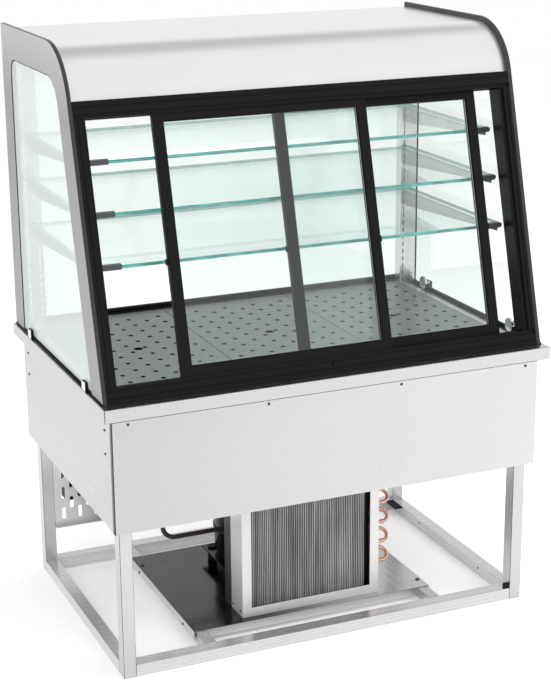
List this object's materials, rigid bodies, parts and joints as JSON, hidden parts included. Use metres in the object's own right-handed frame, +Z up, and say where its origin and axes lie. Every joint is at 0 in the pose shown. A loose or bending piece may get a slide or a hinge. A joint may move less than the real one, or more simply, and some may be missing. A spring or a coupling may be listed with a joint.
{
  "type": "refrigerated deli case",
  "caption": "Glazed refrigerated counter display with leaning sliding doors, glass shelves, an insulated tank, and a tube underframe carrying its condensing unit.",
  "frame": {"origin": "on the floor, under the middle of the counter flange", "axes": "+X along the counter, +Y from the sliding doors to the rear glass, +Z up"},
  "size_m": [1.125, 0.752, 1.427],
  "materials": {
    "stainless": "brushed",
    "panel_paint": "satin",
    "canopy_paint": "satin",
    "frame_black": "satin",
    "clear_glass": "clear",
    "shelf_glass": "clear",
    "seal_rubber": "matt",
    "copper": "drawn tube",
    "fin_alloy": "dusty",
    "shroud_paint": "matt",
    "black_paint": "gloss",
    "black_plastic": "matt",
    "foam": "foam",
    "lamp_plastic": "opal",
    "bright_metal": "polished",
    "bracket_paint": "satin",
    "roller_plastic": "moulded",
    "pipe_cover": "sleeved"
  },
  "bodies": {
    "cabinet": {"legs": "stainless", "foot_plugs": "black_plastic", "bottom_rails": "stainless", "tray_rails": "stainless", "corner_plugs": "black_plastic", "machine_tray": "stainless", "condenser_casing": "stainless", "condenser_fins": "fin_alloy", "condenser_tubes": "copper", "fan_shroud": "shroud_paint", "condenser_fan_motor": "shroud_paint", "compressor": "black_paint", "compressor_mounts": "seal_rubber", "suction_line": "pipe_cover", "discharge_line": "copper", "liquid_line": "copper", "filter_drier": "copper", "perforated_panel": "stainless", "control_box": "black_plastic", "cable_gland": "black_plastic", "tank_shell": "stainless", "tank_front_panel": "stainless", "tank_insulation": "foam", "tank_liner": "stainless", "drain_pipe": "lamp_plastic", "evaporator_fins": "fin_alloy", "evaporator_tubes": "copper", "fan_baffle": "stainless", "evaporator_fan_motors": "shroud_paint", "counter_flange": "stainless", "deck_plates": "stainless", "side_panel_left": "panel_paint", "side_panel_right": "panel_paint", "side_glasses": "clear_glass", "glass_gaskets": "seal_rubber", "glass_clamps": "black_plastic", "clamp_discs": "bright_metal", "canopy": "canopy_paint", "ceiling_panel": "canopy_paint", "lamp_housing": "lamp_plastic", "lamp_diffuser": "lamp_plastic", "rear_glass": "clear_glass", "frame_head": "frame_black", "frame_sill": "frame_black", "frame_jambs": "frame_black", "glass_shelves": "shelf_glass", "shelf_uprights": "stainless", "shelf_brackets": "bracket_paint", "screws": "stainless"},
    "outer_door": {"outer_door_frame": "frame_black", "outer_door_glass": "clear_glass"},
    "inner_door": {"inner_door_frame": "frame_black", "inner_door_glass": "clear_glass"},
    "condenser_fan": {"condenser_fan": "black_plastic"},
    "evaporator_fan_left": {"evaporator_fan_left": "black_plastic"},
    "evaporator_fan_right": {"evaporator_fan_right": "black_plastic"},
    "outer_door_roller_left": {"outer_door_roller_left": "roller_plastic"},
    "outer_door_roller_right": {"outer_door_roller_right": "roller_plastic"},
    "inner_door_roller_left": {"inner_door_roller_left": "roller_plastic"},
    "inner_door_roller_right": {"inner_door_roller_right": "roller_plastic"}
  },
  "joints": [
    {"name": "outer_door_slide", "type": "slide", "parent": "cabinet", "child": "outer_door", "axis": [1, 0, 0], "range_m": [-0.149, 0.349]},
    {"name": "inner_door_slide", "type": "slide", "parent": "cabinet", "child": "inner_door", "axis": [1, 0, 0], "range_m": [-0.448, 0.05]},
    {"name": "outer_door_roller_left_spin", "type": "hinge", "parent": "outer_door", "child": "outer_door_roller_left", "pos_m": [-0.323, -0.32326, 0.68839], "axis": [0, 0.9636, -0.2672], "continuous": true},
    {"name": "outer_door_roller_right_spin", "type": "hinge", "parent": "outer_door", "child": "outer_door_roller_right", "pos_m": [0.123, -0.32326, 0.68839], "axis": [0, 0.9636, -0.2672], "continuous": true},
    {"name": "inner_door_roller_left_spin", "type": "hinge", "parent": "inner_door", "child": "inner_door_roller_left", "pos_m": [-0.024, -0.30591, 0.68358], "axis": [0, 0.9636, -0.2672], "continuous": true},
    {"name": "inner_door_roller_right_spin", "type": "hinge", "parent": "inner_door", "child": "inner_door_roller_right", "pos_m": [0.422, -0.30591, 0.68358], "axis": [0, 0.9636, -0.2672], "continuous": true},
    {"name": "condenser_fan_spin", "type": "hinge", "parent": "cabinet", "child": "condenser_fan", "pos_m": [0, -0.126, 0.184], "axis": [0, -1, 0], "continuous": true},
    {"name": "evaporator_fan_left_spin", "type": "hinge", "parent": "cabinet", "child": "evaporator_fan_left", "pos_m": [-0.22, 0.028, 0.525], "axis": [0, -1, 0], "continuous": true},
    {"name": "evaporator_fan_right_spin", "type": "hinge", "parent": "cabinet", "child": "evaporator_fan_right", "pos_m": [0.22, 0.028, 0.525], "axis": [0, -1, 0], "continuous": true}
  ],
  "couplings": [
    {"joint": "outer_door_roller_left_spin", "follows": "outer_door_slide", "rad_per_m": 111.11},
    {"joint": "outer_door_roller_right_spin", "follows": "outer_door_slide", "rad_per_m": 111.11},
    {"joint": "inner_door_roller_left_spin", "follows": "inner_door_slide", "rad_per_m": 111.11},
    {"joint": "inner_door_roller_right_spin", "follows": "inner_door_slide", "rad_per_m": 111.11}
  ]
}
